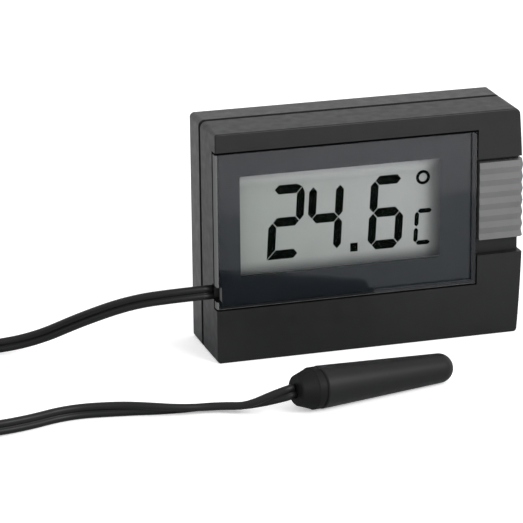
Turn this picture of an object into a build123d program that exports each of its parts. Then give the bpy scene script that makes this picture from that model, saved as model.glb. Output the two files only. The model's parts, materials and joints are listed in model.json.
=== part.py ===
from build123d import *
import os
from math import atan, cos, degrees, pi, radians, sin, tan

# Digital thermometer with an outdoor probe on a flat twin cable.
# Origin: the middle of the case's base. +X right, +Y to the rear, +Z up. Millimetres.

os.makedirs("parts", exist_ok=True)

# ---------------------------------------------------------------- driving dimensions
case_width = 54.3
case_height = 39.7
case_depth = 15.6
front_y = -case_depth / 2
rear_y = case_depth / 2
seam_y = 1.4
seam_gap = 1.15           # width of the shadow groove round the case
seam_depth = 0.85
draft = 0.06              # each shell narrows this much from the seam to its face
right_crown = 0.8         # the right side bulges this far at mid height
# radii of the upper corners, left and right, and of both lower ones
front_corners = (0.4, 1.1)
seam_corners = (1.05, 1.05)
rear_corners = (0.8, 0.45)
foot_corner = 0.6
face_edge_radius = 0.25
wall = 1.7
rear_wall = 1.5

left_x = -27.0
right_x = left_x + case_width - right_crown   # at the foot and at the top of the crowned side
cavity_left = left_x + wall
cavity_right = 24.2
cavity_top = case_height - wall
cavity_front = -5.1       # back of the bezel that carries the display

# window, let into the front and open to the left side
window_thickness = 1.4
window_right = 18.75
window_bottom = 9.5
window_top = 36.2
window_gap = 0.28
window_edge_radius = 0.5
window_back = front_y + window_thickness
print_thickness = 0.1
bond = 0.015              # between the layers of the window and of the display
recess_floor = window_back + print_thickness
side_groove_depth = 0.5   # shadow groove behind the window's left edge
aperture_left, aperture_right = -22.4, 12.7
aperture_bottom, aperture_top = 14.45, 31.75

# display, front to back
display_left, display_right = -23.6, 14.0
display_bottom, display_top = 13.6, 35.0
rear_glass_top = 32.6
polariser_thickness = 0.2
glass_thickness = 0.9
segment_thickness = 0.1
rear_glass_thickness = 0.4
front_glass_y = cavity_front + polariser_thickness
segment_y = front_glass_y + glass_thickness
rear_glass_y = segment_y + segment_thickness
reflector_y = rear_glass_y + rear_glass_thickness
holder_y = reflector_y + polariser_thickness

digit_width = 4.72        # between the centre lines of the upright strokes
digit_half_height = 5.65
digit_mid_z = 22.5
digit_slant = 3.4
strokes = (1.38, 1.58)    # width of the upright ones and height of the level ones
stroke_gap = 0.2
unit_width = 2.75
unit_half_height = 2.8
unit_mid_z = 19.3
unit_strokes = (0.74, 0.78)

# circuit board
board_front = -0.9
board_thickness = 1.0
board_back = board_front + board_thickness
board_left, board_right = -24.9, 23.8
board_bottom, board_top = 3.0, 36.8
board_notch = 2.5         # clear of the two case screws

# button cell and its door
cell_x, cell_z = 15.6, 19.6
cell_radius, cell_height = 5.8, 5.4
cell_front = 0.7
cell_back = cell_front + cell_height
door_seat_y = 6.4
door_left = 7.9
door_half_height = 9.0
door_tongue = 0.8
door_clearance = 0.2

# slide switch in the right front corner
channel_bottom, channel_top = 14.4, 31.35
channel_side_x = 26.8
channel_rear_y = -1.2
knob_height = 13.5
knob_travel = 2.4
knob_clearance = 0.3
knob_bottom = channel_bottom + knob_travel + knob_clearance
knob_left = 19.35
knob_rear_y = -1.6
knob_front_y = front_y + 0.15
knob_right_x = 27.35
knob_corner = 1.2
knob_seat = 0.1           # between the knob's skin and the floor of its channel
ridge_slopes = 13         # faces of the ribbing, leaning up and down in turn
ridge_rise = 0.17
tongue_bottom, tongue_top = 22.1, 26.1
tongue_front, tongue_back = -3.5, -2.3

# flat twin cable
cable_width, cable_thickness = 2.5, 1.25
cable_tube = 2.4          # the plain tube that stands for the cable outside the case
cable_exit = (left_x, -5.65, 12.1)
cable_turn_x = -24.0
cable_end_y = -3.0
crimp_half_width, crimp_half_height = 1.05, 1.45
crimp_front, crimp_back = -4.5, -3.4
floor_clear = 0.05

# spare cable, wound flat and tied
coil_centre = (-88.5, -9.0)
coil_inner, coil_outer = 10.3, 19.7   # radii of the innermost and outermost turns
coil_turns = 14.5
tie_thickness = 0.35
coil_low_z = tie_thickness + cable_width / 2
coil_high_z = coil_low_z + cable_width + 0.1
tie_width = 4.0

# probe, lying on its side in front of the case
probe_rear = (-21.4, -33.5)
probe_heading = 13.0
boot_length = 3.8
boot_rear_radius, boot_front_radius = 2.5, 3.3
collar_radius = 3.42
sleeve_start = 4.2
sleeve_radius, sleeve_tip_radius = 3.5, 2.45
sleeve_taper_end = 27.0
probe_length = 29.5

# fixings
case_screw_places = ((-21.8, 5.2), (21.1, 34.4))
board_screw_places = ((-13.0, 6.0), (14.6, 6.0), (16.1, 34.4))


# ---------------------------------------------------------------- helpers
def layer(y):
    """The plane at this depth, facing forward, for outlines drawn in X and Z."""
    return Plane.XZ.offset(-y)


def slab(left, right, bottom, top, front, back, mode=Mode.ADD):
    """A box given by its six walls."""
    with Locations(((left + right) / 2, (front + back) / 2, (bottom + top) / 2)):
        Box(right - left, back - front, top - bottom, mode=mode)


def column(x, z, radius, front, back, mode=Mode.ADD):
    """A round post or hole along Y."""
    with Locations(Location((x, (front + back) / 2, z), (90, 0, 0))):
        Cylinder(radius, back - front, mode=mode)


def soft_slab(left, right, bottom, top, front, back, radius, mode=Mode.ADD):
    """A slab whose four long edges are rounded."""
    with BuildSketch(layer(back)) as profile:
        with Locations(((left + right) / 2, (bottom + top) / 2)):
            RectangleRounded(right - left, top - bottom, radius)
    extrude(profile.sketch, amount=back - front, mode=mode)


def case_outline(y, inset, upper_corners):
    """The case's outline at depth y: square but for its crowned right side."""
    left = left_x + inset
    right = right_x - inset
    top = case_height - inset
    with BuildSketch(layer(y)) as outline:
        with BuildLine():
            Polyline((right, 0), (left, 0), (left, top), (right, top))
            ThreePointArc((right, top), (right + right_crown, top / 2), (right, 0))
        make_face()
        fillet(outline.vertices().group_by(Axis.Y)[-1].sort_by(Axis.X)[0], upper_corners[0])
        fillet(outline.vertices().group_by(Axis.Y)[-1].sort_by(Axis.X)[-1], upper_corners[1])
        fillet(outline.vertices().group_by(Axis.Y)[0], foot_corner)
    return outline.sketch


def save(piece, name):
    """Label one finished piece and write it."""
    piece.label = name
    export_step(piece, f"parts/{name}.step")


# ---------------------------------------------------------------- front shell
slot_bottom = tongue_bottom - knob_travel - knob_clearance
slot_top = tongue_top + knob_clearance

with BuildPart() as front_shell:
    loft([case_outline(front_y, draft, front_corners),
          case_outline(seam_y - seam_gap / 2, 0, seam_corners)])
    fillet(front_shell.edges().group_by(Axis.Y)[0], face_edge_radius)
    extrude(case_outline(seam_y, seam_depth, seam_corners), amount=seam_gap)
    soft_slab(cavity_left, cavity_right, wall, cavity_top, cavity_front, seam_y, 1.0, Mode.SUBTRACT)
    # seat of the window, open to the left, with its shadow groove
    seat_bottom = window_bottom - window_gap
    seat_top = window_top + window_gap
    seat_right = window_right + window_gap
    slab(left_x - 1, seat_right, seat_bottom, seat_top, front_y - 1, recess_floor, Mode.SUBTRACT)
    groove_back = recess_floor + side_groove_depth
    slab(left_x - 1, left_x + 0.8, seat_bottom, seat_top, front_y, groove_back, Mode.SUBTRACT)
    slab(aperture_left - 0.9, aperture_right + 0.9, aperture_bottom - 0.6, aperture_top + 1.05,
         front_y, cavity_front + 1, Mode.SUBTRACT)
    # channel of the slide switch, round the right front corner
    slab(seat_right, right_x + 3, channel_bottom, channel_top, front_y - 1, recess_floor, Mode.SUBTRACT)
    slab(channel_side_x, right_x + 3, channel_bottom, channel_top, front_y - 1, channel_rear_y,
         Mode.SUBTRACT)
    slab(cavity_right - 1, channel_side_x + 1, slot_bottom, slot_top,
         tongue_front - 0.3, tongue_back + 0.3, Mode.SUBTRACT)
    # way out of the cable
    slab(left_x - 1, cable_turn_x + 0.9, cable_exit[2] - 1.3, cable_exit[2] + 1.3,
         recess_floor, cavity_front + 0.1, Mode.SUBTRACT)
    # posts for the board and for the case screws
    for x, z in board_screw_places:
        column(x, z, 1.8, cavity_front - 0.2, board_front)
        column(x, z, 0.8, cavity_front, board_front, Mode.SUBTRACT)
    for x, z in case_screw_places:
        column(x, z, 2.1, cavity_front - 0.2, 0.9)
        column(x, z, 1.0, -4.0, 0.9, Mode.SUBTRACT)
save(front_shell.part, "front_shell")


# ---------------------------------------------------------------- rear shell and battery door
door_bottom = cell_z - door_half_height
door_top = cell_z + door_half_height
tongue_back_y = door_seat_y + 0.6

with BuildPart() as rear_block:
    loft([case_outline(seam_y + seam_gap / 2, 0, seam_corners),
          case_outline(rear_y, draft, rear_corners)])
    fillet(rear_block.edges().group_by(Axis.Y)[-1], face_edge_radius)

with BuildPart() as rear_shell:
    add(rear_block.part)
    extrude(case_outline(seam_y + seam_gap, seam_depth, seam_corners), amount=seam_gap)
    soft_slab(cavity_left, cavity_right, wall, cavity_top, seam_y - 0.1, rear_y - rear_wall, 1.0,
              Mode.SUBTRACT)
    # seat under the door and the pocket that holds the cell
    slab(door_left - 1, cavity_right + 0.2, door_bottom - 1.8, door_top + 1.8,
         door_seat_y - 1, rear_y - rear_wall + 0.1)
    column(cell_x, cell_z, cell_radius + 1.2, 0.6, door_seat_y)
    column(cell_x, cell_z, cell_radius + 0.3, 0, rear_y, Mode.SUBTRACT)
    slab(cell_x - 8, cell_x - 5.5, cell_z - 2, cell_z + 2, 0, door_seat_y - 1, Mode.SUBTRACT)
    # opening for the door, with a groove for each of its tongues
    gap = door_clearance
    slab(door_left - gap, right_x + 3, door_bottom - gap, door_top + gap,
         door_seat_y, rear_y + 1, Mode.SUBTRACT)
    slab(door_left - gap, right_x + 3, door_bottom - door_tongue - gap, door_top + door_tongue + gap,
         door_seat_y, tongue_back_y + gap, Mode.SUBTRACT)
    # columns for the case screws
    for x, z in case_screw_places:
        column(x, z, 2.9, 0.9, rear_y - rear_wall + 0.1)
        column(x, z, 2.1, 4.6, rear_y + 1, Mode.SUBTRACT)
        column(x, z, 1.15, 0.9, 4.6, Mode.SUBTRACT)
save(rear_shell.part, "rear_shell")

with BuildPart() as battery_door:
    slab(door_left, right_x + 3, door_bottom, door_top, door_seat_y + 0.1, rear_y + 1)
    slab(door_left, right_x + 3, door_bottom - door_tongue, door_top + door_tongue,
         door_seat_y + 0.1, tongue_back_y)
    add(rear_block.part, mode=Mode.INTERSECT)
    for step in range(5):
        grip_x = 20.0 + 1.1 * step
        soft_slab(grip_x - 0.28, grip_x + 0.28, cell_z - 4, cell_z + 4, rear_y - 0.4, rear_y + 1, 0.27,
                  Mode.SUBTRACT)
save(battery_door.part, "battery_door")

with BuildPart() as case_screws:
    for x, z in case_screw_places:
        column(x, z, 1.85, 4.6, 5.8)
        column(x, z, 1.0, -3.6, 4.6)
        slab(x - 1.3, x + 1.3, z - 0.2, z + 0.2, 5.3, 5.9, Mode.SUBTRACT)
        slab(x - 0.2, x + 0.2, z - 1.3, z + 1.3, 5.3, 5.9, Mode.SUBTRACT)
save(case_screws.part, "case_screws")


# ---------------------------------------------------------------- window
with BuildPart() as window:
    slab(left_x + draft - 0.02, window_right, window_bottom, window_top, front_y, window_back)
    left_edge = window.edges().filter_by(Axis.Z).group_by(Axis.X)[0].sort_by(Axis.Y)[0]
    fillet(left_edge, window_edge_radius)
    front_rim = window.edges().group_by(Axis.Y)[0].filter_by(Axis.X)
    fillet(front_rim, 0.15)
    slab(left_x - 1, left_x + 0.9, cable_exit[2] - 1.3, cable_exit[2] + 1.3,
         front_y - 1, window_back + 1, Mode.SUBTRACT)
save(window.part, "window")

with BuildPart() as window_print:
    slab(left_x + 1, window_right - 0.15, window_bottom + 0.1, window_top - 0.1,
         window_back + bond, recess_floor - bond)
    soft_slab(aperture_left, aperture_right, aperture_bottom, aperture_top,
              window_back - 1, recess_floor + 1, 0.3, Mode.SUBTRACT)
save(window_print.part, "window_print")


# ---------------------------------------------------------------- display
def slanted(x, z, mid_z):
    """A point of a digit, leaning with the digit's slant about its middle."""
    return (x + (z - mid_z) * tan(radians(digit_slant)), z)


def bar(start, end, sizes, mid_z, start_reach=(0, 0), end_reach=(0, 0)):
    """One pointed stroke from start to end, which lie on one level or one above the other.

    A reach moves that end's point toward the digit's corner, in half strokes.
    """
    half_x, half_z = sizes[0] / 2, sizes[1] / 2
    gap = stroke_gap / 2
    (x0, z0), (x1, z1) = start, end
    level = z0 == z1
    if level:
        x0, x1 = x0 + gap, x1 - gap
    else:
        z0, z1 = z0 + gap, z1 - gap
    start_tip = (x0 + start_reach[0] * half_x, z0 + start_reach[1] * half_z)
    end_tip = (x1 + end_reach[0] * half_x, z1 + end_reach[1] * half_z)
    if level:
        corners = [start_tip, (x0 + half_x, z0 + half_z), (x1 - half_x, z1 + half_z),
                   end_tip, (x1 - half_x, z1 - half_z), (x0 + half_x, z0 - half_z)]
    else:
        corners = [start_tip, (x0 - half_x, z0 + half_z), (x1 - half_x, z1 - half_z),
                   end_tip, (x1 + half_x, z1 - half_z), (x0 + half_x, z0 + half_z)]
    Polygon(*[slanted(x, z, mid_z) for x, z in corners])


def seven_segment(left, mid_z, width, half_height, sizes, lit, top_right=0, bottom_left=0):
    """The lit strokes of one digit, named a to g clockwise from the top, g in the middle.

    Two of the digit's corners can be drawn out, from 0, cut off, to 1, sharp.
    """
    right = left + width
    top = mid_z + half_height
    bottom = mid_z - half_height
    outer = (top_right, top_right)
    lower = (-bottom_left, -bottom_left)
    bars = {
        "a": ((left, top), (right, top), (0, 0), outer),
        "b": ((right, mid_z), (right, top), (0, 0), outer),
        "c": ((right, bottom), (right, mid_z), (0, 0), (0, 0)),
        "d": ((left, bottom), (right, bottom), lower, (0, 0)),
        "e": ((left, bottom), (left, mid_z), lower, (0, 0)),
        "f": ((left, mid_z), (left, top), (0, 0), (0, 0)),
        "g": ((left, mid_z), (right, mid_z), (0, 0), (0, 0)),
    }
    for name in lit:
        start, end, start_reach, end_reach = bars[name]
        bar(start, end, sizes, mid_z, start_reach, end_reach)


with BuildPart() as display_segments:
    with BuildSketch(layer(rear_glass_y - bond)):
        seven_segment(-16.06, digit_mid_z, digit_width, digit_half_height, strokes, "abged", 0.35, 1)
        seven_segment(-9.2, digit_mid_z, digit_width, digit_half_height, strokes, "fgbc")
        seven_segment(1.67, digit_mid_z, digit_width, digit_half_height, strokes, "afgecd")
        seven_segment(9.38, unit_mid_z, unit_width, unit_half_height, unit_strokes, "afed")
        with Locations((-1.75, 16.85)):
            Rectangle(1.3, 1.5)
        with Locations((10.55, 28.0)):
            Circle(1.25)
            Circle(0.73, mode=Mode.SUBTRACT)
    extrude(amount=segment_thickness - 2 * bond)
save(display_segments.part, "display_segments")

with BuildPart() as display_polariser:
    slab(display_left + 0.2, display_right - 0.2, display_bottom + 0.1, display_top - 0.2,
         cavity_front, front_glass_y - bond)
save(display_polariser.part, "display_polariser")

with BuildPart() as display_front_glass:
    slab(display_left, display_right, display_bottom, display_top, front_glass_y, segment_y)
save(display_front_glass.part, "display_front_glass")

with BuildPart() as display_rear_glass:
    slab(display_left, display_right, display_bottom, rear_glass_top, rear_glass_y, reflector_y)
save(display_rear_glass.part, "display_rear_glass")

with BuildPart() as display_reflector:
    slab(display_left + 0.2, display_right - 0.2, display_bottom + 0.1, rear_glass_top - 0.2,
         reflector_y + bond, holder_y)
save(display_reflector.part, "display_reflector")

with BuildPart() as display_holder:
    slab(display_left, display_right, display_bottom, rear_glass_top, holder_y, board_front)
    slab(display_left + 2, display_right - 2, display_bottom + 2, rear_glass_top - 2,
         holder_y - 1, board_front + 1, Mode.SUBTRACT)
save(display_holder.part, "display_holder")

with BuildPart() as contact_strip:
    slab(-22.0, 12.4, rear_glass_top + 0.4, display_top - 0.2, segment_y, board_front)
save(contact_strip.part, "contact_strip")


# ---------------------------------------------------------------- circuit board and what is on it
wire_spread = cable_width / 4

with BuildPart() as circuit_board:
    soft_slab(board_left, board_right, board_bottom, board_top, board_front, board_back, 0.8)
    (low_x, low_z), (high_x, high_z) = case_screw_places
    slab(board_left - 1, low_x + board_notch, board_bottom - 1, low_z + board_notch,
         board_front, board_back, Mode.SUBTRACT)
    slab(high_x - board_notch, board_right + 1, high_z - board_notch, board_top + 1,
         board_front, board_back, Mode.SUBTRACT)
    for x, z in board_screw_places:
        column(x, z, 0.9, board_front - 1, board_back + 1, Mode.SUBTRACT)
    for side in (-1, 1):
        column(cable_turn_x, cable_exit[2] + side * wire_spread, 0.3, board_front - 1, board_back + 1,
               Mode.SUBTRACT)
save(circuit_board.part, "circuit_board")

with BuildPart() as board_screws:
    for x, z in board_screw_places:
        column(x, z, 1.6, board_back, board_back + 1.0)
        column(x, z, 0.8, cavity_front + 0.4, board_back)
        slab(x - 1.2, x + 1.2, z - 0.18, z + 0.18, board_back + 0.6, board_back + 1.1, Mode.SUBTRACT)
save(board_screws.part, "board_screws")

with BuildPart() as chip_cover:
    column(-7.0, 20.0, 4.2, board_back, board_back + 1.3)
    fillet(chip_cover.edges().group_by(Axis.Y)[-1], 1.1)
save(chip_cover.part, "chip_cover")

with BuildPart() as crystal:
    with Locations((-16.5, board_back + 1.0, 20.0)):
        Cylinder(1.0, 6.0)
    fillet(crystal.edges().group_by(Axis.Z)[-1], 0.3)
    for side in (-0.35, 0.35):
        with Locations((-16.5 + side, board_back + 1.0, 16.0)):
            Cylinder(0.15, 2.0)
save(crystal.part, "crystal")

with BuildPart() as room_sensor:
    with Locations((-21.0, board_back + 1.2, 27.0)):
        Cylinder(1.0, 1.8)
    fillet(room_sensor.edges().filter_by(GeomType.CIRCLE), 0.6)
    for side in (-0.45, 0.45):
        with Locations((-21.0 + side, board_back + 1.2, 24.6)):
            Cylinder(0.18, 3.2)
save(room_sensor.part, "room_sensor")

with BuildPart() as capacitors:
    for x, z in ((-15.0, 30.0), (-10.5, 30.0), (0.5, 27.0)):
        slab(x - 1.0, x + 1.0, z - 0.65, z + 0.65, board_back, board_back + 1.0)
save(capacitors.part, "capacitors")

with BuildPart() as resistors:
    for row in range(4):
        bottom = 9.0 + 2.4 * row
        slab(1.0, 3.0, bottom, bottom + 1.2, board_back, board_back + 0.5)
save(resistors.part, "resistors")


# ---------------------------------------------------------------- button cell and its contacts
with BuildPart() as button_cell:
    column(cell_x, cell_z, cell_radius, cell_front + 0.6, cell_back)
    fillet(button_cell.edges().group_by(Axis.Y)[-1], 0.5)
    column(cell_x, cell_z, cell_radius - 1.1, cell_front, cell_front + 0.6)
save(button_cell.part, "button_cell")

with BuildPart() as contact_negative:
    slab(cell_x - 3, cell_x + 3, cell_z - 2, cell_z + 2, board_back, board_back + 0.25)
    slab(cell_x - 1.2, cell_x + 1.2, cell_z - 1.2, cell_z + 1.2, board_back + 0.25, cell_front)
save(contact_negative.part, "contact_negative")

with BuildPart() as contact_positive:
    side_x = cell_x - cell_radius
    slab(side_x - 2.4, side_x, cell_z - 1.5, cell_z + 1.5, board_back, board_back + 0.3)
    slab(side_x - 0.3, side_x, cell_z - 1.5, cell_z + 1.5, board_back, cell_back - 0.9)
save(contact_positive.part, "contact_positive")


# ---------------------------------------------------------------- slide switch
def knob_section(height, proud):
    """Plan of the knob's skin: a leg along the front, a leg along the side, a round corner."""
    inner_front = recess_floor - knob_seat
    inner_side = channel_side_x + knob_seat
    front = knob_front_y - proud
    side = knob_right_x + proud
    with BuildSketch(Plane.XY.offset(height)) as plan:
        with BuildLine():
            Polyline((knob_left, inner_front), (knob_left, front), (side, front),
                     (side, knob_rear_y), (inner_side, knob_rear_y), (inner_side, inner_front),
                     close=True)
        make_face()
        outer_corner = plan.vertices().group_by(Axis.X)[-1].sort_by(Axis.Y)[0]
        fillet(outer_corner, knob_corner)
    return plan.sketch


with BuildPart() as slider_knob:
    knob_top = knob_bottom + knob_height
    slope_height = knob_height / ridge_slopes
    loft([knob_section(knob_top - slope_height * level, ridge_rise * (level % 2))
          for level in range(ridge_slopes + 1)], ruled=True)
    slab(cavity_right - 1.6, channel_side_x + 0.5, tongue_bottom, tongue_top, tongue_front, tongue_back)
save(slider_knob.part, "slider_knob")

with BuildPart() as slider_carrier:
    slab(21.7, cavity_right - 0.3, 20.4, 27.8, -4.7, -1.7)
    slab(cavity_right - 1.6, cavity_right, tongue_bottom, tongue_top, tongue_front, tongue_back,
         Mode.SUBTRACT)
save(slider_carrier.part, "slider_carrier")

with BuildPart() as slider_wiper:
    slab(21.9, 23.5, 21.0, 27.0, -1.7, -1.55)
    for z in (22.2, 25.8):
        slab(22.0, 23.4, z - 0.5, z + 0.5, -1.55, -1.2)
save(slider_wiper.part, "slider_wiper")


# ---------------------------------------------------------------- cable inside the case
exit_x, exit_y, exit_z = cable_exit

with BuildPart() as cable_tail:
    with BuildLine() as tail_path:
        FilletPolyline(cable_exit, (cable_turn_x, exit_y, exit_z), (cable_turn_x, cable_end_y, exit_z),
                       radius=1.0)
    with BuildSketch(Plane(origin=cable_exit, x_dir=(0, 0, 1), z_dir=(1, 0, 0))):
        SlotOverall(cable_width, cable_thickness)
    sweep()
save(cable_tail.part, "cable_tail")

with BuildPart() as cable_crimp:
    slab(cable_turn_x - crimp_half_width, cable_turn_x + crimp_half_width,
         exit_z - crimp_half_height, exit_z + crimp_half_height, crimp_front, crimp_back)
    add(cable_tail.part, mode=Mode.SUBTRACT)
save(cable_crimp.part, "cable_crimp")

with BuildPart() as wire_ends:
    for side in (-1, 1):
        column(cable_turn_x, exit_z + side * wire_spread, 0.25, cable_end_y, board_back + 0.4)
save(wire_ends.part, "wire_ends")

with BuildPart() as solder_joints:
    for side in (-1, 1):
        column(cable_turn_x, exit_z + side * wire_spread, 0.55, board_back, board_back + 0.35)
        column(cable_turn_x, exit_z + side * wire_spread, 0.25, board_back, board_back + 1,
               Mode.SUBTRACT)
save(solder_joints.part, "solder_joints")


# ---------------------------------------------------------------- probe
taper = (sleeve_radius - sleeve_tip_radius) / (sleeve_taper_end - sleeve_start)
probe_tilt = degrees(atan(taper))
rear_height = (sleeve_radius + sleeve_start * taper) / cos(radians(probe_tilt))
heading = radians(probe_heading)
fall = radians(probe_tilt)
probe_direction = Vector(cos(fall) * cos(heading), cos(fall) * sin(heading), -sin(fall))
probe_origin = Vector(probe_rear[0], probe_rear[1], rear_height)
probe_side = Vector(-sin(heading), cos(heading), 0)
probe_axis = Axis(probe_origin, probe_direction)
probe_plan = Plane(origin=probe_origin, x_dir=probe_direction, z_dir=probe_direction.cross(probe_side))
probe_station = Plane(origin=probe_origin, x_dir=probe_side, z_dir=probe_direction)
core_radius = cable_thickness / 2 - 0.05
bead_station = 23.0
potting_start, potting_end = 9.0, 27.0
spigot_end = 8.5
spigot_radius = 2.2


def sleeve_radius_at(station):
    """Outer radius of the sleeve at this distance from the boot's rear face."""
    return sleeve_radius - taper * (station - sleeve_start)


def core(start, end, radius, side, mode=Mode.ADD):
    """One conductor along the probe, beside its axis."""
    place = probe_station.offset((start + end) / 2).location * Location((0, side * cable_width / 4, 0))
    with Locations(place):
        Cylinder(radius, end - start, mode=mode)


with BuildPart() as probe_boot:
    with BuildSketch(probe_plan):
        with BuildLine():
            Polyline((0, 0), (0, boot_rear_radius - 0.2), (0.2, boot_rear_radius),
                     (boot_length - 1.3, boot_front_radius), (boot_length - 1.1, collar_radius),
                     (boot_length, collar_radius), (boot_length, boot_front_radius - 0.1),
                     (sleeve_start, boot_front_radius - 0.1), (sleeve_start, spigot_radius),
                     (spigot_end, spigot_radius), (spigot_end, 0), close=True)
        make_face()
    revolve(axis=probe_axis)
    for side in (-1, 1):
        core(0, spigot_end, core_radius, side, Mode.SUBTRACT)
save(probe_boot.part, "probe_boot")

with BuildPart() as probe_sleeve:
    tip_radius = sleeve_radius_at(probe_length - sleeve_tip_radius)
    with BuildSketch(probe_plan):
        with BuildLine():
            l1 = Line((probe_length - sleeve_tip_radius, tip_radius),
                      (sleeve_start + 0.2, sleeve_radius - 0.01))
            l2 = Line(l1 @ 1, (sleeve_start, sleeve_radius - 0.2))
            l3 = Line(l2 @ 1, (sleeve_start, spigot_radius))
            l4 = Line(l3 @ 1, (spigot_end, spigot_radius))
            l5 = Line(l4 @ 1, (potting_end, 1.3))
            l6 = Line(l5 @ 1, (potting_end, 0))
            l7 = Line(l6 @ 1, (probe_length, 0))
            TangentArc(l7 @ 1, l1 @ 0, tangent=(0, 1))
        make_face()
    revolve(axis=probe_axis)
save(probe_sleeve.part, "probe_sleeve")

with BuildPart() as probe_cores:
    for side in (-1, 1):
        core(0, bead_station - 4, core_radius, side)
save(probe_cores.part, "probe_cores")

with BuildPart() as bead_leads:
    for side in (-1, 1):
        core(bead_station - 4, bead_station, 0.2, side)
save(bead_leads.part, "bead_leads")

with BuildPart() as sensor_bead:
    with Locations(probe_station.offset(bead_station + 0.8).location):
        Cylinder(1.15, 1.6)
save(sensor_bead.part, "sensor_bead")

with BuildPart() as probe_potting:
    with BuildSketch(probe_plan):
        with BuildLine():
            bore_slope = (spigot_radius - 1.3) / (potting_end - spigot_end)
            bore_start = spigot_radius - bore_slope * (potting_start - spigot_end)
            Polyline((potting_start, 0), (potting_start, bore_start), (potting_end, 1.3),
                     (potting_end, 0), close=True)
        make_face()
    revolve(axis=probe_axis)
    add(probe_cores.part, mode=Mode.SUBTRACT)
    add(bead_leads.part, mode=Mode.SUBTRACT)
    add(sensor_bead.part, mode=Mode.SUBTRACT)
save(probe_potting.part, "probe_potting")


# ---------------------------------------------------------------- cable outside the case
low = cable_tube / 2 + floor_clear
coil_x, coil_y = coil_centre
route_from_case = [
    cable_exit,
    (-33.5, -5.65, 12.1),
    (-40.5, -3.1, 10.9),
    (-47.5, 2.6, 6.9),
    (-54.5, 7.7, 2.4),
    (-62.5, 8.9, low),
    (-70.5, 10.2, low + 0.05),
    (-79.5, 10.9, low + 0.2),
    (coil_x, coil_y + coil_outer, coil_low_z),
]
route_to_probe = [
    (coil_x, coil_y - coil_outer, coil_high_z),
    (-80.5, -29.1, 3.2),
    (-72.5, -29.6, low + 0.3),
    (-64.5, -28.0, low),
    (-56.5, -25.0, low),
    (-48.5, -26.1, low),
    (-40.5, -28.4, low),
    (-33.5, -28.5, low),
    (-27.5, -32.2, 1.8),
    tuple(probe_origin),
]


def corner_radii(points):
    """The arc at each corner: as large as its two runs allow."""
    radii = []
    for before, here, after in zip(points, points[1:], points[2:]):
        first = Vector(*here) - Vector(*before)
        second = Vector(*after) - Vector(*here)
        turn = radians(first.get_angle(second))
        radii.append(0.45 * min(first.length, second.length) / tan(turn / 2))
    return radii


def cable_run(route, name):
    """The plain tube of one free stretch, with its radii and its length checked."""
    radii = corner_radii(route)
    with BuildPart() as run:
        with BuildLine() as path:
            FilletPolyline(*route, radius=radii)
        start = Plane(origin=path.line @ 0, z_dir=path.line % 0)
        with BuildSketch(start):
            Circle(cable_tube / 2)
        sweep()
    length = path.wires()[0].length
    expected = pi * cable_tube ** 2 / 4 * length
    print(name, "radii", [round(radius, 1) for radius in radii])
    print(name, "length", round(length, 1))
    print(name, "volume", round(run.part.volume, 1), "expected", round(expected, 1))
    save(run.part, name)
    return length


length_from_case = cable_run(route_from_case, "cable_from_case")
length_to_probe = cable_run(route_to_probe, "cable_to_probe")
coil_length = coil_turns * pi * (coil_inner + coil_outer)
print("whole cable", round(length_from_case + length_to_probe + coil_length, 1))

coil_edge = cable_thickness / 2 + 0.08
coil_bottom = tie_thickness
coil_top = coil_high_z + cable_width / 2

with BuildPart() as cable_coil:
    with BuildSketch(Plane(origin=(coil_x, coil_y, 0), x_dir=(1, 0, 0), z_dir=(0, -1, 0))):
        middle = ((coil_inner + coil_outer) / 2, (coil_bottom + coil_top) / 2)
        with Locations(middle):
            RectangleRounded(coil_outer - coil_inner + 2 * coil_edge, coil_top - coil_bottom, 0.8)
    revolve(axis=Axis((coil_x, coil_y, 0), (0, 0, 1)))
save(cable_coil.part, "cable_coil")

with BuildPart() as coil_tie:
    tie_inner = coil_x - coil_inner + coil_edge + 0.15
    tie_outer = coil_x - coil_outer - coil_edge - 0.15
    tie_height = coil_top - coil_bottom + 2 * tie_thickness
    with Locations(((tie_inner + tie_outer) / 2, coil_y, (coil_bottom + coil_top) / 2)):
        Box(tie_inner - tie_outer + 2 * tie_thickness, tie_width, tie_height)
    add(cable_coil.part, mode=Mode.SUBTRACT)
save(coil_tie.part, "coil_tie")
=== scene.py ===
import json
from math import asin, cos, pi, radians, sin

import bmesh
import bpy
from mathutils import Matrix, Vector


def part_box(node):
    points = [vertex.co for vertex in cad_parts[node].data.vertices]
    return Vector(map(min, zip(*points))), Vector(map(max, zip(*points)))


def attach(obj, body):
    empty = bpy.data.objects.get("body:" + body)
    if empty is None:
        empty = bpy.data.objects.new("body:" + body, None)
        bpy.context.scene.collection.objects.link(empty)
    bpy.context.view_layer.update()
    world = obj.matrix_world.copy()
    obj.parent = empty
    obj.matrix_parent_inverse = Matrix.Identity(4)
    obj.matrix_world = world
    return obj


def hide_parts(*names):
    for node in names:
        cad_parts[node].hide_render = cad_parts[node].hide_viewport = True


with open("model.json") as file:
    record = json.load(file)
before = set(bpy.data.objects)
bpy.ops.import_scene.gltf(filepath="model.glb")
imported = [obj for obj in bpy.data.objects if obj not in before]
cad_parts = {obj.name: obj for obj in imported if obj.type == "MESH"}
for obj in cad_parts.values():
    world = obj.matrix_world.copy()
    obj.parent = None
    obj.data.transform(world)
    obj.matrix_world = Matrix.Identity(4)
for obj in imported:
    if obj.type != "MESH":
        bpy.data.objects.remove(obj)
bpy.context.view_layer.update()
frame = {"nodes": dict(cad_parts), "record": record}

MM = 0.001
nodes = frame["nodes"]


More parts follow.
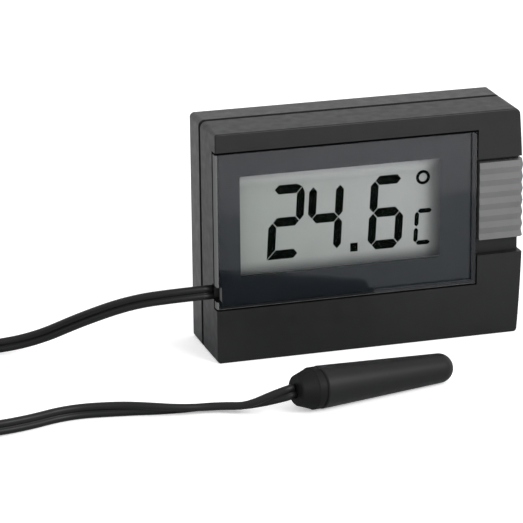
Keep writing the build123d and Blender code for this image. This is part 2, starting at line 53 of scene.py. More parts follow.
# ---------------------------------------------------------------- camera
def add_camera():
    """A long lens to the left of the case and a little above it."""
    azimuth = radians(-16.565)
    elevation = radians(17.786)
    roll = radians(-0.6)
    distance = 482.13 * MM
    target = Vector((-16.881, 0, 14.643)) * MM

    back = Vector((sin(azimuth) * cos(elevation), -cos(azimuth) * cos(elevation), sin(elevation)))
    right = Vector((cos(azimuth), sin(azimuth), 0))
    turn = Matrix.Rotation(roll, 3, back)
    right = turn @ right
    up = back.cross(right)
    place = Matrix((right, up, back)).transposed().to_4x4()
    place.translation = target + back * distance

    data = bpy.data.cameras.new("camera")
    data.sensor_width = 36
    data.lens = 196.46
    data.clip_start = 0.01
    data.clip_end = 20
    camera = bpy.data.objects.new("camera", data)
    camera.matrix_world = place
    bpy.context.scene.collection.objects.link(camera)
    bpy.context.scene.camera = camera


# ---------------------------------------------------------------- cable
CABLE_WIDTH = 2.5 * MM
CABLE_THICKNESS = 1.25 * MM
CORE_RADIUS = CABLE_THICKNESS / 2
NECK_HALF = 0.16 * MM            # half the thickness of the web between the two cores
LINE_STEPS = 7                   # points of the smoothed line for each control point
FULL_ROLL = radians(72)          # how far the cable leans over where it lies across the front
LEAN_BEFORE = -24 * MM           # only the stretch in front of this leans
LEAN_START = (-52 * MM, -34 * MM)        # it goes over between these two places along the case
LEAN_END = (-30 * MM, -21.8 * MM)        # and stands up again between these

# control points of its two free stretches, in metres
ROUTE_FROM_CASE = [
    (-0.0270, -0.00565, 0.0121),
    (-0.0335, -0.00565, 0.0121),
    (-0.0405, -0.00310, 0.0109),
    (-0.0475, 0.00260, 0.0069),
    (-0.0545, 0.00770, 0.0024),
    (-0.0625, 0.00890, 0.00125),
    (-0.0705, 0.01020, 0.0013),
    (-0.0795, 0.01090, 0.00145),
    (-0.0885, 0.01070, 0.0016),
]
ROUTE_TO_PROBE = [
    (-0.0885, -0.02870, 0.0042),
    (-0.0805, -0.02910, 0.0032),
    (-0.0725, -0.02960, 0.00155),
    (-0.0645, -0.02800, 0.00125),
    (-0.0565, -0.02500, 0.00125),
    (-0.0485, -0.02610, 0.00125),
    (-0.0405, -0.02840, 0.00125),
    (-0.0335, -0.02850, 0.00125),
    (-0.0275, -0.03220, 0.0018),
    (-0.0214, -0.03350, 0.003767),
]

COIL_CENTRE = Vector((-0.0885, -0.009))
COIL_OUTER = 19.7 * MM
COIL_PITCH = 1.28 * MM           # from one turn of the lower layer to the next
COIL_LOW_Z = 1.6 * MM
COIL_HIGH_Z = 4.2 * MM
LOWER_TURNS = 7
RISE_TURNS = 0.5
UPPER_TURNS = 7
POINTS_PER_TURN = 24
RISE_DIP = 0.6 * MM              # the rising half turn keeps this much clear of the layer above


def coil_route():
    """Spiral in along the lower layer, up at the middle, and out along the upper layer."""
    inner_low = COIL_OUTER - COIL_PITCH * LOWER_TURNS
    inner_high = inner_low - COIL_PITCH * RISE_TURNS
    rise_end = LOWER_TURNS + RISE_TURNS
    turns = rise_end + UPPER_TURNS
    points = []
    for step in range(1, int(turns * POINTS_PER_TURN)):
        turn = step / POINTS_PER_TURN
        if turn < LOWER_TURNS:
            radius = COIL_OUTER - COIL_PITCH * turn
            height = COIL_LOW_Z
        elif turn < rise_end:
            risen = (turn - LOWER_TURNS) / RISE_TURNS
            radius = inner_low + (inner_high - inner_low) * risen - RISE_DIP * sin(pi * risen)
            height = COIL_LOW_Z + (COIL_HIGH_Z - COIL_LOW_Z) * risen
        else:
            radius = inner_high + (COIL_OUTER - inner_high) * (turn - rise_end) / UPPER_TURNS
            height = COIL_HIGH_Z
        angle = pi / 2 + 2 * pi * turn
        x = COIL_CENTRE.x + radius * cos(angle)
        y = COIL_CENTRE.y + radius * sin(angle)
        points.append((x, y, height))
    return points


def smooth_line(points):
    """The points along the NURBS spline that has these control points."""
    curve = bpy.data.curves.new("route", "CURVE")
    curve.dimensions = "3D"
    curve.resolution_u = LINE_STEPS
    spline = curve.splines.new("NURBS")
    spline.points.add(len(points) - 1)
    for control, point in zip(spline.points, points):
        control.co = (*point, 1)
    spline.order_u = 3
    spline.use_endpoint_u = True
    holder = bpy.data.objects.new("route", curve)
    mesh = bpy.data.meshes.new_from_object(holder)
    line = [vertex.co.copy() for vertex in mesh.vertices]
    bpy.data.objects.remove(holder)
    bpy.data.meshes.remove(mesh)
    bpy.data.curves.remove(curve)
    return line


def smooth_step(low, high, value):
    """0 below low, 1 above high, and an even S between them."""
    share = min(max((value - low) / (high - low), 0), 1)
    return share * share * (3 - 2 * share)


def twin_section():
    """The flat cable's outline, two round cores and the web between them, as (wide, thin) pairs."""
    offset = CABLE_WIDTH / 2 - CORE_RADIUS
    half_neck = asin(NECK_HALF / CORE_RADIUS)
    count = 13
    section = []
    for side in (1, -1):
        for step in range(count):
            angle = -pi + half_neck + (2 * pi - 2 * half_neck) * step / (count - 1)
            across = offset + CORE_RADIUS * cos(angle)
            section.append((side * across, side * CORE_RADIUS * sin(angle)))
    return section


def cable_roll(point):
    """How far the cable leans over: it stands on edge but for a stretch near the probe."""
    if point.y > LEAN_BEFORE:
        return 0
    return FULL_ROLL * smooth_step(*LEAN_START, point.x) * (1 - smooth_step(*LEAN_END, point.x))


def new_object(name, mesh_source):
    """A new object in the scene from a finished bmesh, shaded smooth."""
    mesh = bpy.data.meshes.new(name)
    mesh_source.to_mesh(mesh)
    mesh_source.free()
    mesh.polygons.foreach_set("use_smooth", [True] * len(mesh.polygons))
    piece = bpy.data.objects.new(name, mesh)
    bpy.context.scene.collection.objects.link(piece)
    return piece


def skin(bm, sections, closed=False):
    """A surface through rings of points, capped at both ends, or joined end to end when closed."""
    rings = [[bm.verts.new(point) for point in section] for section in sections]
    pairs = list(zip(rings, rings[1:]))
    if closed:
        pairs.append((rings[-1], rings[0]))
    for first, second in pairs:
        for here in range(len(first)):
            after = (here + 1) % len(first)
            bm.faces.new((first[here], first[after], second[after], second[here]))
    if not closed:
        bm.faces.new(reversed(rings[0]))
        bm.faces.new(rings[-1])


def along(line, place):
    """The direction of a line at one of its points."""
    before = line[max(place - 1, 0)]
    after = line[min(place + 1, len(line) - 1)]
    return (after - before).normalized()


def add_cable():
    """The whole flat twin cable, from the case through the coil to the probe, as one tube."""
    line = smooth_line(ROUTE_FROM_CASE + coil_route() + ROUTE_TO_PROBE)
    outline = twin_section()
    rings = []
    for place, point in enumerate(line):
        forward = along(line, place)
        side = forward.cross(Vector((0, 0, 1))).normalized()
        up = side.cross(forward)
        roll = cable_roll(point)
        wide = up * cos(roll) + side * sin(roll)
        thin = side * cos(roll) - up * sin(roll)
        # leaning over, the cable still lies on the floor
        centre = point - Vector((0, 0, (1 - cos(roll)) * (CABLE_WIDTH - CABLE_THICKNESS) / 2))
        rings.append([centre + wide * across + thin * through for across, through in outline])
    bm = bmesh.new()
    skin(bm, rings)
    bmesh.ops.recalc_face_normals(bm, faces=bm.faces)
    cable = new_object("probe_cable", bm)
    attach(cable, "case")
    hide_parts("cable_from_case", "cable_coil", "cable_to_probe")
    return cable, line


# ---------------------------------------------------------------- twist tie round the coil
TIE_HALF_WIDTH = 2.0 * MM
TIE_SHEET = 0.16 * MM
TIE_RIDGE = 0.35 * MM            # the wire in its middle stands this far out
# where the ridge has its foot and its shoulder, as shares of the half width
RIDGE_FOOT, RIDGE_SHOULDER = 0.25, 0.15
SHOULDER_RISE = 0.85             # and how high the shoulder is, as a share of the ridge
TIE_CORNER = 0.9 * MM
TWIST_START = Vector((-103.5, -10.4, 6.1)) * MM
TWIST_HEIGHT = 6.75 * MM
TWIST_RISE = 2.2 * MM            # the length over which the twist climbs to that height
TWIST_LENGTH = 10 * MM
TWIST_DRIFT = 0.08               # sideways, for each step along
TWIST_PITCH = 4.2 * MM
TWIST_GAP = 0.24 * MM            # from the twist's middle to the middle of either end
SPREAD_START = 0.8 * TWIST_LENGTH        # from here on the two ends part, by this much each
SPREAD = 0.5 * MM
END_HALF_WIDTH = 1.15 * MM
END_HALF_SHEET = 0.1 * MM
# outline of an end, as shares of its half width and of its half thickness
END_OUTLINE = ((-1, -0.6), (-1, 0.6), (-0.3, 1), (0, 2), (0.3, 1),
               (1, 0.6), (1, -0.6), (0.3, -1), (0, -2), (-0.3, -1))


def band_corner(centre_x, centre_z, start):
    """A quarter circle of the band's path, as (point, outward direction)."""
    steps = 7
    quarter = []
    for step in range(steps):
        angle = start + pi / 2 * step / (steps - 1)
        out = Vector((cos(angle), 0, sin(angle)))
        quarter.append((Vector((centre_x, COIL_CENTRE.y, centre_z)) + out * TIE_CORNER, out))
    return quarter


def add_tie():
    """A flat strip with a wire in it, bent round the turns and twisted shut on top of them."""
    low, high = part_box("coil_tie")
    inset = TIE_RIDGE + TIE_CORNER
    left, right = low[0] + inset, high[0] - inset
    bottom, top = low[2] + inset, high[2] - inset
    path = (band_corner(right, top, 0) + band_corner(left, top, pi / 2)
            + band_corner(left, bottom, pi) + band_corner(right, bottom, 3 * pi / 2))
    foot = RIDGE_FOOT * TIE_HALF_WIDTH
    shoulder = RIDGE_SHOULDER * TIE_HALF_WIDTH
    shoulder_rise = SHOULDER_RISE * TIE_RIDGE
    profile = [(-TIE_HALF_WIDTH, 0), (-TIE_HALF_WIDTH, TIE_SHEET), (-foot, TIE_SHEET),
               (-shoulder, shoulder_rise), (0, TIE_RIDGE), (shoulder, shoulder_rise),
               (foot, TIE_SHEET), (TIE_HALF_WIDTH, TIE_SHEET), (TIE_HALF_WIDTH, 0)]
    across = Vector((0, 1, 0))
    sections = [[point + across * wide + out * proud for wide, proud in profile]
                for point, out in path]
    bm = bmesh.new()
    skin(bm, sections, closed=True)
    for side in (1, -1):
        skin(bm, twisted_end(side))
    bmesh.ops.recalc_face_normals(bm, faces=bm.faces)
    tie = new_object("twist_tie", bm)
    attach(tie, "case")
    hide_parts("coil_tie")
    return tie


def twisted_end(side):
    """One of the tie's two ends, wound round the other along the coil's top and apart at its tip."""
    steps = 44
    sections = []
    for step in range(steps + 1):
        gone = TWIST_LENGTH * step / steps
        turn = 2 * pi * gone / TWIST_PITCH
        climb = (TWIST_HEIGHT - TWIST_START.z) * smooth_step(0, TWIST_RISE, gone)
        gap = TWIST_GAP + SPREAD * smooth_step(SPREAD_START, TWIST_LENGTH, gone)
        wide = Vector((cos(turn), 0, sin(turn)))
        thin = Vector((-sin(turn), 0, cos(turn)))
        centre = TWIST_START + Vector((TWIST_DRIFT * gone, -gone, climb)) + thin * side * gap
        sections.append([centre + wide * END_HALF_WIDTH * across + thin * END_HALF_SHEET * through
                         for across, through in END_OUTLINE])
    return sections


# ---------------------------------------------------------------- stage and lights
FLOOR_REACH = 6                  # metres to each side
SURROUND_STRENGTH = 0.9
SOFTBOX_PLACE = Vector((0.11, -0.22, 0.16))
SOFTBOX_AIM = Vector((0.06, -0.13, 0))
SOFTBOX_SIDE = 0.12
SOFTBOX_POWER = 0.45


def add_softbox():
    """A small square soft light in front of the case, to its right."""
    data = bpy.data.lights.new("key_softbox", "AREA")
    data.size = SOFTBOX_SIDE
    data.energy = SOFTBOX_POWER
    light = bpy.data.objects.new("key_softbox", data)
    light.location = SOFTBOX_PLACE
    light.rotation_euler = (SOFTBOX_PLACE - SOFTBOX_AIM).to_track_quat("Z", "Y").to_euler()
    bpy.context.scene.collection.objects.link(light)


def add_stage():
    """A pale floor, plain to the camera and with painted shade near the object for other rays, even
    white light from all round, and the small soft light.
    """
    bm = bmesh.new()
    reach = FLOOR_REACH
    corners = [(-reach, -reach), (reach, -reach), (reach, reach), (-reach, reach)]
    bm.faces.new([bm.verts.new((x, y, 0)) for x, y in corners])
    floor = new_object("floor", bm)
    floor.data.materials.append(floor_look())

    world = bpy.data.worlds.new("studio")
    world.use_nodes = True
    background = world.node_tree.nodes["Background"]
    background.inputs["Color"].default_value = (1, 1, 1, 1)
    background.inputs["Strength"].default_value = SURROUND_STRENGTH
    bpy.context.scene.world = world
    add_softbox()


# ---------------------------------------------------------------- looks
NOISE_LOW, NOISE_HIGH = 0.3, 0.7         # nearly all of a noise texture lies between these
MOULDED_SPREAD = 0.05                    # how far the roughness drifts to either side
METAL_SPREAD = 0.08

# the floor's tone to the camera, as a range, and the glow that lifts it there
FLOOR_SEEN = ((0.94, 0.94, 0.94), (0.955, 0.955, 0.955))
FLOOR_GLOW = (0.38, 0.38, 0.38)
FLOOR_GRAIN = 0.3                        # metres
FLOOR_ROUGHNESS = 0.9
# its two tones to every other ray, the near one a painted shade round the object, and how far before
# and behind its middle line they meet
FLOOR_MIDDLE = -35 * MM
FLOOR_NEAR, FLOOR_FAR = 50 * MM, 56 * MM
FLOOR_PAINTED_SHADE_TONE = (0.60, 0.615, 0.63)
FLOOR_FAR_TONE = (0.92, 0.90, 0.92)

WINDOW_IOR = 1.49
POLISH_GRAIN = 6 * MM
POLISH = (0.02, 0.05)                    # roughness of the window's polished faces, as a range
GLOSS_TINT = (0.97, 0.98, 1)
# the opening in the window's black print: each edge's axis, and the side that it's open from
OPENING_EDGES = (("X", -22.40 * MM, -22.38 * MM), ("X", 12.70 * MM, 12.68 * MM),
                 ("Z", 14.45 * MM, 14.47 * MM), ("Z", 31.75 * MM, 31.73 * MM))
# where the opening has its coating against reflections, from none to full, and what that leaves
COATING_EDGES = (("X", 12.4 * MM, 10.8 * MM), ("Z", 14.8 * MM, 16.8 * MM))
COATING_SHARE = 0.03
EDGE_STEP = 0.01 * MM                    # across the sharp edges between the window's zones
RIM = 0.85 * MM                          # at its right and lower edge the window's front reflects
FLAT = (0.9, 0.98)                       # how far a face's normal is along Y, from sawn to polished
SHADED_TOP_FACE = (0.1, 0.4)                    # and how far up it is, from a side face to the top, which gets painted shade
BACKING_TONE = (0.008, 0.009, 0.010)     # the dark case, seen through the window beside its print
SAWN_SIDE_HIGHLIGHT_TONE = (0.17, 0.172, 0.172)         # the window's sawn sides: partly their own frosted tone, partly a painted highlight
SAWN_TOP_SHADE_TONE = (0.006, 0.007, 0.008)    # its sawn top, painted shade
SAWN_INNER_SHADE_TONE = (0.02, 0.021, 0.022)   # both, seen through the window, painted shade
PRINT_TONES = ((0.012, 0.015, 0.018), (0.013, 0.016, 0.0195))

# the film behind the display, with painted light and shade: its shaded left and lit right end, its
# painted lighter top and its painted dark margins
FILM_SHADED_LEFT_TONES = ((0.280, 0.302, 0.284), (0.290, 0.312, 0.296))
FILM_LIT_RIGHT_TONES = ((0.316, 0.331, 0.324), (0.326, 0.341, 0.334))
FILM_PAINTED_LIGHT_TOP_TONE = (0.54, 0.56, 0.555)
PAINTED_SHADE_MARGIN_TONE = (0.03, 0.034, 0.038)
FILM_PAINTED_LIGHT_SIDES = (-20 * MM, 11 * MM)         # the left tones end and the right ones begin here
FILM_PAINTED_LIGHT_TOP = (28.8 * MM, 31.0 * MM)        # the top's tone takes over between these heights
# the right and lower margins, painted shade: each one's axis, where it's dark and where it's bright
PAINTED_SHADE_MARGINS = (("X", 14.5 * MM, 11.8 * MM), ("Z", 13.0 * MM, 16.2 * MM))


def new_look(name):
    """An empty material's tree and its Principled shader."""
    material = bpy.data.materials.new(name)
    material.use_nodes = True
    tree = material.node_tree
    return material, tree, tree.nodes["Principled BSDF"]


def noise(tree, grain, detail, stretch=(1, 1, 1)):
    """Noise with lumps about grain metres across, in object space."""
    coordinates = tree.nodes.new("ShaderNodeTexCoord")
    mapping = tree.nodes.new("ShaderNodeMapping")
    mapping.inputs["Scale"].default_value = stretch
    texture = tree.nodes.new("ShaderNodeTexNoise")
    texture.inputs["Scale"].default_value = 1 / grain
    texture.inputs["Detail"].default_value = detail
    tree.links.new(coordinates.outputs["Object"], mapping.inputs["Vector"])
    tree.links.new(mapping.outputs["Vector"], texture.inputs["Vector"])
    return texture.outputs["Fac"]


def spread_of(tree, source, low, high, from_low=NOISE_LOW, from_high=NOISE_HIGH):
    """A value stretched from one range, which is that of noise if none is given, onto another."""
    spread = tree.nodes.new("ShaderNodeMapRange")
    spread.inputs["From Min"].default_value = from_low
    spread.inputs["From Max"].default_value = from_high
    spread.inputs["To Min"].default_value = low
    spread.inputs["To Max"].default_value = high
    tree.links.new(source, spread.inputs["Value"])
    return spread.outputs["Result"]


def other_than(tree, share):
    """What a share leaves of 1."""
    return spread_of(tree, share, 1, 0, 0, 1)


def maths(tree, operation, first, second=None):
    """One Math node's result, from values or from a value alone."""
    node = tree.nodes.new("ShaderNodeMath")
    node.operation = operation
    tree.links.new(first, node.inputs[0])
    if second is not None:
        tree.links.new(second, node.inputs[1])
    return node.outputs[0]


def multiplied(tree, first, second):
    """The product of two values."""
    return maths(tree, "MULTIPLY", first, second)


def larger(tree, first, second):
    """The larger of two values."""
    return maths(tree, "MAXIMUM", first, second)


def ramp(tree, source, start, end):
    """0 on the start side, 1 on the end side, and an even S between."""
    step = tree.nodes.new("ShaderNodeMapRange")
    step.interpolation_type = "SMOOTHSTEP"
    step.inputs["From Min"].default_value = start
    step.inputs["From Max"].default_value = end
    tree.links.new(source, step.inputs["Value"])
    return step.outputs["Result"]


def place_in_object(tree):
    """The three object-space coordinates."""
    coordinates = tree.nodes.new("ShaderNodeTexCoord")
    split = tree.nodes.new("ShaderNodeSeparateXYZ")
    tree.links.new(coordinates.outputs["Object"], split.inputs[0])
    return split.outputs


def inside_of(tree, edges):
    """1 where all these edges' ramps are past, 0 where one of them isn't reached."""
    place = place_in_object(tree)
    inside = None
    for axis, start, end in edges:
        edge = ramp(tree, place[axis], start, end)
        inside = edge if inside is None else multiplied(tree, inside, edge)
    return inside


def blend_of(tree, share, first, second):
    """A colour between two, by a share from 0 to 1; either is a tuple or another node's output."""
    mix = tree.nodes.new("ShaderNodeMix")
    mix.data_type = "RGBA"
    tree.links.new(share, mix.inputs["Factor"])
    # inputs 6 and 7 and output 2 are the node's colour sockets
    for socket, colour in ((mix.inputs[6], first), (mix.inputs[7], second)):
        if isinstance(colour, tuple):
            socket.default_value = (*colour, 1)
        else:
            tree.links.new(colour, socket)
    return mix.outputs[2]


def bump_of(tree, shader, *layers):
    """Layers of (height, depth in metres), one on the other."""
    below = None
    for height, depth in layers:
        bump = tree.nodes.new("ShaderNodeBump")
        bump.inputs["Strength"].default_value = 1
        bump.inputs["Distance"].default_value = depth
        tree.links.new(height, bump.inputs["Height"])
        if below is not None:
            tree.links.new(below, bump.inputs["Normal"])
        below = bump.outputs["Normal"]
    tree.links.new(below, shader.inputs["Normal"])


def moulded(name, dark, light, roughness, grain, depth, level=0.5):
    """A moulded surface: a fine even grain, with slow drifts of tone and of gloss."""
    material, tree, shader = new_look(name)
    drift = spread_of(tree, noise(tree, 40 * grain, 2), 0, 1)
    tree.links.new(blend_of(tree, drift, dark, light), shader.inputs["Base Color"])
    gloss = spread_of(tree, noise(tree, 12 * grain, 3), roughness - MOULDED_SPREAD,
                      roughness + MOULDED_SPREAD)
    tree.links.new(gloss, shader.inputs["Roughness"])
    shader.inputs["Specular IOR Level"].default_value = level
    bump_of(tree, shader, (noise(tree, 14 * grain, 2), depth * 2), (noise(tree, grain, 2), depth))
    return material


def metal(name, dark, light, roughness, grain, depth, stretch=(1, 1, 1)):
    """A metal with a drawn or brushed grain."""
    material, tree, shader = new_look(name)
    shader.inputs["Metallic"].default_value = 1
    drift = spread_of(tree, noise(tree, 8 * grain, 3, stretch), 0, 1)
    tree.links.new(blend_of(tree, drift, dark, light), shader.inputs["Base Color"])
    gloss = spread_of(tree, noise(tree, 3 * grain, 3, stretch), roughness - METAL_SPREAD,
                      roughness + METAL_SPREAD)
    tree.links.new(gloss, shader.inputs["Roughness"])
    bump_of(tree, shader, (noise(tree, grain, 3, stretch), depth))
    return material


def floor_look():
    """A white table top. The camera sees it evenly bright; to every other ray it is darker near the
    object, a painted shade, so it lights the object less from near by.
    """
    material, tree, shader = new_look("studio_floor")
    rays = tree.nodes.new("ShaderNodeLightPath").outputs
    drift = spread_of(tree, noise(tree, FLOOR_GRAIN, 3), 0, 1)
    seen = blend_of(tree, drift, *FLOOR_SEEN)
    centred = tree.nodes.new("ShaderNodeMath")
    centred.operation = "SUBTRACT"
    centred.inputs[1].default_value = FLOOR_MIDDLE
    tree.links.new(place_in_object(tree)["Y"], centred.inputs[0])
    # painted shade: to every ray but the camera's, the floor is darker within this reach of its middle
    # line
    far = ramp(tree, maths(tree, "ABSOLUTE", centred.outputs[0]), FLOOR_NEAR, FLOOR_FAR)
    thrown_with_painted_shade = blend_of(tree, far, FLOOR_PAINTED_SHADE_TONE, FLOOR_FAR_TONE)
    tree.links.new(blend_of(tree, rays["Is Camera Ray"], thrown_with_painted_shade, seen), shader.inputs["Base Color"])
    shader.inputs["Roughness"].default_value = FLOOR_ROUGHNESS
    shader.inputs["Specular IOR Level"].default_value = 0
    shader.inputs["Emission Color"].default_value = (*FLOOR_GLOW, 1)
    tree.links.new(rays["Is Camera Ray"], shader.inputs["Emission Strength"])
    return material


def polish(tree):
    """Roughness of the window's polished faces."""
    return spread_of(tree, noise(tree, POLISH_GRAIN, 4), *POLISH)


def print_look():
    """Black print on the back of the window. It carries the polished window's reflection."""
    material, tree, shader = new_look("print_black")
    drift = spread_of(tree, noise(tree, 4 * MM, 2), 0, 1)
    tree.links.new(blend_of(tree, drift, *PRINT_TONES), shader.inputs["Base Color"])
    tree.links.new(polish(tree), shader.inputs["Roughness"])
    shader.inputs["IOR"].default_value = WINDOW_IOR
    return material


def fresnel(tree, ior):
    """The share of light that a surface reflects."""
    node = tree.nodes.new("ShaderNodeFresnel")
    node.inputs["IOR"].default_value = ior
    return node.outputs[0]


def plain_diffuse(tree, colour):
    """A matt surface, its colour a tuple or another node's output."""
    node = tree.nodes.new("ShaderNodeBsdfDiffuse")
    if isinstance(colour, tuple):
        node.inputs["Color"].default_value = (*colour, 1)
    else:
        tree.links.new(colour, node.inputs["Color"])
    return node.outputs[0]


def surface_mix(tree, share, first, second):
    """The first surface, and by this share the second."""
    mix = tree.nodes.new("ShaderNodeMixShader")
    tree.links.new(share, mix.inputs[0])
    tree.links.new(first, mix.inputs[1])
    tree.links.new(second, mix.inputs[2])
    return mix.outputs[0]


def reflected_share(tree, beside, back, front):
    """How much the window reflects: at its back but for its print and coating, at its rim in front."""
    uncoated = spread_of(tree, inside_of(tree, COATING_EDGES), 1, COATING_SHARE, 0, 1)
    opening = multiplied(tree, inside_of(tree, OPENING_EDGES), uncoated)
    # a Fresnel node turns its index over on a back face
    at_back = multiplied(tree, fresnel(tree, 1 / WINDOW_IOR), back)
    at_back = multiplied(tree, at_back, larger(tree, opening, beside))
    low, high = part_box("window")
    within_rim = inside_of(tree, (("X", high[0] - RIM, high[0] - RIM - EDGE_STEP),
                                  ("Z", low[2] + RIM, low[2] + RIM + EDGE_STEP)))
    at_rim = multiplied(tree, fresnel(tree, WINDOW_IOR), other_than(tree, within_rim))
    return larger(tree, at_back, multiplied(tree, at_rim, front))


def window_look():
    """Clear acrylic with sawn edges, dark where there is neither print nor display behind it. Its sawn
    sides carry a painted highlight; its sawn top and the sawn faces seen through it carry painted
    shade.
    """
    material, tree, shader = new_look("window_clear")
    tree.nodes.remove(shader)
    facing = tree.nodes.new("ShaderNodeNewGeometry").outputs
    normal = tree.nodes.new("ShaderNodeSeparateXYZ")
    tree.links.new(facing["Normal"], normal.inputs[0])
    back = facing["Backfacing"]
    front = other_than(tree, back)
    low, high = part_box("window_print")
    printed = inside_of(tree, (("X", low[0], low[0] + EDGE_STEP), ("X", high[0], high[0] - EDGE_STEP),
                               ("Z", low[2], low[2] + EDGE_STEP), ("Z", high[2], high[2] - EDGE_STEP)))
    beside = other_than(tree, printed)

    clear = tree.nodes.new("ShaderNodeBsdfTransparent").outputs[0]
    low_flat, high_flat = FLAT
    # a back face has its normal turned toward the viewer
    seen_from_front = multiplied(tree, back, ramp(tree, normal.outputs["Y"], -low_flat, -high_flat))
    backed = surface_mix(tree, multiplied(tree, beside, seen_from_front), clear,
                         plain_diffuse(tree, BACKING_TONE))
    gloss = tree.nodes.new("ShaderNodeBsdfGlossy")
    gloss.inputs["Color"].default_value = (*GLOSS_TINT, 1)
    tree.links.new(polish(tree), gloss.inputs["Roughness"])
    share = reflected_share(tree, beside, back, front)
    polished = surface_mix(tree, share, backed, gloss.outputs[0])

    # painted light: the sawn sides light, the sawn top dark
    sawn_lit_and_shaded = blend_of(tree, ramp(tree, normal.outputs["Z"], *SHADED_TOP_FACE), SAWN_SIDE_HIGHLIGHT_TONE, SAWN_TOP_SHADE_TONE)
    # painted shade: sawn faces seen through the window are darker
    sawn = plain_diffuse(tree, blend_of(tree, back, sawn_lit_and_shaded, SAWN_INNER_SHADE_TONE))
    at_edge = ramp(tree, maths(tree, "ABSOLUTE", normal.outputs["Y"]), high_flat, low_flat)
    seen_from_rear = multiplied(tree, front, ramp(tree, normal.outputs["Y"], low_flat, high_flat))
    shut = multiplied(tree, beside, seen_from_rear)
    whole = surface_mix(tree, larger(tree, shut, at_edge), polished, sawn)
    tree.links.new(whole, tree.nodes["Material Output"].inputs["Surface"])
    return material


def reflector_look():
    """Brushed silver-grey film behind the display, with painted light: lighter to the right and at its
    top, and painted shade toward its right and lower margins.
    """
    material, tree, shader = new_look("reflector_film")
    drift = spread_of(tree, noise(tree, 4 * MM, 2), 0, 1)
    place = place_in_object(tree)
    # painted light: the film grows lighter from its left end to its right
    film = blend_of(tree, ramp(tree, place["X"], *FILM_PAINTED_LIGHT_SIDES),
                    blend_of(tree, drift, *FILM_SHADED_LEFT_TONES), blend_of(tree, drift, *FILM_LIT_RIGHT_TONES))
    # painted light: a lighter top
    film = blend_of(tree, ramp(tree, place["Z"], *FILM_PAINTED_LIGHT_TOP), film, FILM_PAINTED_LIGHT_TOP_TONE)
    # painted shade along the right and lower margins
    film = blend_of(tree, inside_of(tree, PAINTED_SHADE_MARGINS), PAINTED_SHADE_MARGIN_TONE, film)
    tree.links.new(film, shader.inputs["Base Color"])
    tree.links.new(spread_of(tree, noise(tree, 0.6 * MM, 3), 0.45, 0.55), shader.inputs["Roughness"])
    shader.inputs["Specular IOR Level"].default_value = 0
    bump_of(tree, shader, (noise(tree, 0.05 * MM, 2, (1, 1, 8)), 0.002 * MM))
    return material


def segment_look():
    """Dark liquid crystal. The camera sees it dark; other rays pass, so it throws no shadow."""
    material = moulded("segment_black", (0.0004, 0.0012, 0.0006), (0.0006, 0.0018, 0.0009), 0.6,
                       0.1 * MM, 0.001 * MM, 0)
    tree = material.node_tree
    rays = tree.nodes.new("ShaderNodeLightPath").outputs
    clear = tree.nodes.new("ShaderNodeBsdfTransparent").outputs[0]
    dark = tree.nodes["Principled BSDF"].outputs[0]
    tree.links.new(surface_mix(tree, rays["Is Camera Ray"], clear, dark),
                   tree.nodes["Material Output"].inputs["Surface"])
    return material


def thin_layer(name, colour, alpha, roughness):
    """A bonded, almost unseen layer of the display."""
    material, tree, shader = new_look(name)
    darker = tuple(0.9 * channel for channel in colour)
    tree.links.new(blend_of(tree, noise(tree, 2 * MM, 2), colour, darker), shader.inputs["Base Color"])
    gloss = spread_of(tree, noise(tree, 0.8 * MM, 3), roughness, roughness + 0.05)
    tree.links.new(gloss, shader.inputs["Roughness"])
    shader.inputs["Alpha"].default_value = alpha
    return material


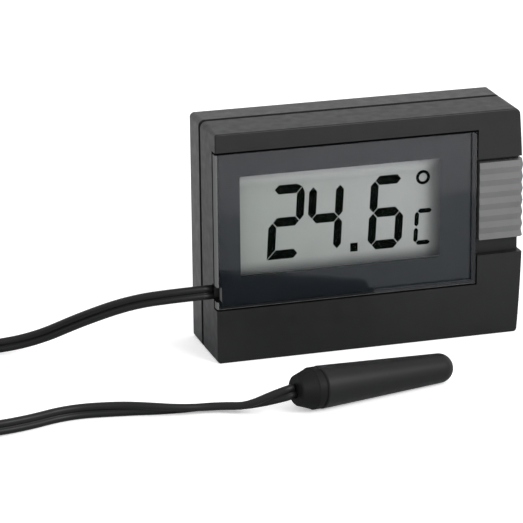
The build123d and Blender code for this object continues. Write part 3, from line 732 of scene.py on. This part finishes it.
def make_looks():
    """One material for each of the record's material slots, and a lighter, glossier copy of the case
    plastic for the rear half, painted light.
    """
    return {
        # the front and rear copies of one case plastic; the rear one is lighter and glossier, painted
        # light
        "case_plastic": moulded("case_plastic", (0.006, 0.006, 0.0063), (0.008, 0.008, 0.0083), 0.46,
                                0.15 * MM, 0.006 * MM, 0.32),
        "case_plastic_lit_rear": moulded("case_plastic_lit_rear", (0.012, 0.012, 0.0124),
                                     (0.015, 0.015, 0.0155), 0.45, 0.15 * MM, 0.005 * MM, 0.45),
        "window_clear": window_look(),
        "print_black": print_look(),
        "display_glass": thin_layer("display_glass", (0.6, 0.64, 0.6), 0.001, 0.05),
        "polariser_film": thin_layer("polariser_film", (0.5, 0.54, 0.5), 0.001, 0.2),
        "segment_black": segment_look(),
        "reflector_film": reflector_look(),
        "holder_plastic": moulded("holder_plastic", (0.62, 0.62, 0.6), (0.7, 0.7, 0.68), 0.5,
                                  0.15 * MM, 0.004 * MM),
        "strip_rubber": moulded("strip_rubber", (0.3, 0.1, 0.08), (0.4, 0.14, 0.12), 0.6,
                                0.1 * MM, 0.004 * MM),
        "board_laminate": moulded("board_laminate", (0.02, 0.12, 0.05), (0.03, 0.17, 0.07), 0.35,
                                  0.2 * MM, 0.003 * MM),
        "chip_resin": moulded("chip_resin", (0.006, 0.006, 0.006), (0.012, 0.012, 0.012), 0.25,
                              0.3 * MM, 0.004 * MM),
        "can_metal": metal("can_metal", (0.55, 0.55, 0.54), (0.7, 0.7, 0.69), 0.3, 0.05 * MM,
                           0.001 * MM, (1, 1, 0.05)),
        "sensor_resin": moulded("sensor_resin", (0.015, 0.01, 0.008), (0.03, 0.02, 0.015), 0.3,
                                0.2 * MM, 0.003 * MM),
        "capacitor_body": moulded("capacitor_body", (0.38, 0.27, 0.15), (0.48, 0.35, 0.2), 0.5,
                                  0.1 * MM, 0.002 * MM),
        "resistor_body": moulded("resistor_body", (0.012, 0.012, 0.014), (0.02, 0.02, 0.022), 0.4,
                                 0.1 * MM, 0.002 * MM),
        "screw_steel": metal("screw_steel", (0.4, 0.4, 0.41), (0.55, 0.55, 0.56), 0.35, 0.04 * MM,
                             0.002 * MM),
        "contact_metal": metal("contact_metal", (0.6, 0.58, 0.52), (0.75, 0.72, 0.65), 0.3,
                               0.05 * MM, 0.001 * MM, (1, 1, 0.1)),
        "cell_steel": metal("cell_steel", (0.62, 0.62, 0.61), (0.75, 0.75, 0.74), 0.25, 0.06 * MM,
                            0.001 * MM),
        "switch_grey": moulded("switch_grey", (0.11, 0.11, 0.11), (0.125, 0.125, 0.125), 0.45,
                               0.12 * MM, 0.003 * MM),
        "carrier_plastic": moulded("carrier_plastic", (0.5, 0.5, 0.48), (0.6, 0.6, 0.58), 0.5,
                                   0.15 * MM, 0.003 * MM),
        "cable_sheath": moulded("cable_sheath", (0.005, 0.005, 0.005), (0.007, 0.007, 0.007), 0.45,
                                0.2 * MM, 0.003 * MM, 0.3),
        "crimp_metal": metal("crimp_metal", (0.55, 0.55, 0.54), (0.7, 0.7, 0.68), 0.35, 0.05 * MM,
                             0.002 * MM),
        "copper_wire": metal("copper_wire", (0.7, 0.33, 0.18), (0.85, 0.45, 0.28), 0.3, 0.05 * MM,
                             0.001 * MM),
        "solder_metal": metal("solder_metal", (0.6, 0.6, 0.6), (0.75, 0.75, 0.76), 0.25, 0.15 * MM,
                              0.003 * MM),
        "tie_plastic": moulded("tie_plastic", (0.012, 0.012, 0.012), (0.018, 0.018, 0.018), 0.3,
                               0.15 * MM, 0.002 * MM),
        "boot_rubber": moulded("boot_rubber", (0.003, 0.003, 0.003), (0.0045, 0.0045, 0.0045), 0.55,
                               0.12 * MM, 0.004 * MM, 0.18),
        "probe_plastic": moulded("probe_plastic", (0.005, 0.005, 0.005), (0.0065, 0.0065, 0.0065), 0.42,
                                 0.12 * MM, 0.004 * MM, 0.28),
        "potting_resin": moulded("potting_resin", (0.02, 0.018, 0.015), (0.03, 0.027, 0.022), 0.3,
                                 0.3 * MM, 0.003 * MM),
    }


REAR_PIECES = ("rear_shell", "battery_door")     # of the same plastic, given a lighter and glossier copy of it as painted light


def dress_nodes(looks):
    """Gives every CAD node the look of its slot, and the case's rear half a lighter copy of the case
    plastic as painted light.
    """
    for part in frame["record"]["subparts"]:
        piece = nodes[part["node"]]
        look = "case_plastic_lit_rear" if part["node"] in REAR_PIECES else part["material_slot"]
        for place in range(len(piece.material_slots)):
            piece.material_slots[place].material = looks[look]


# ---------------------------------------------------------------- the scene
add_camera()
looks = make_looks()
add_stage()
cable, cable_line = add_cable()
cable.data.materials.append(looks["cable_sheath"])
tie = add_tie()
tie.data.materials.append(looks["tie_plastic"])
dress_nodes(looks)
bpy.context.scene.view_settings.view_transform = "Standard"
bpy.context.scene.cycles.transparent_max_bounces = 32    # past every clear face of the display
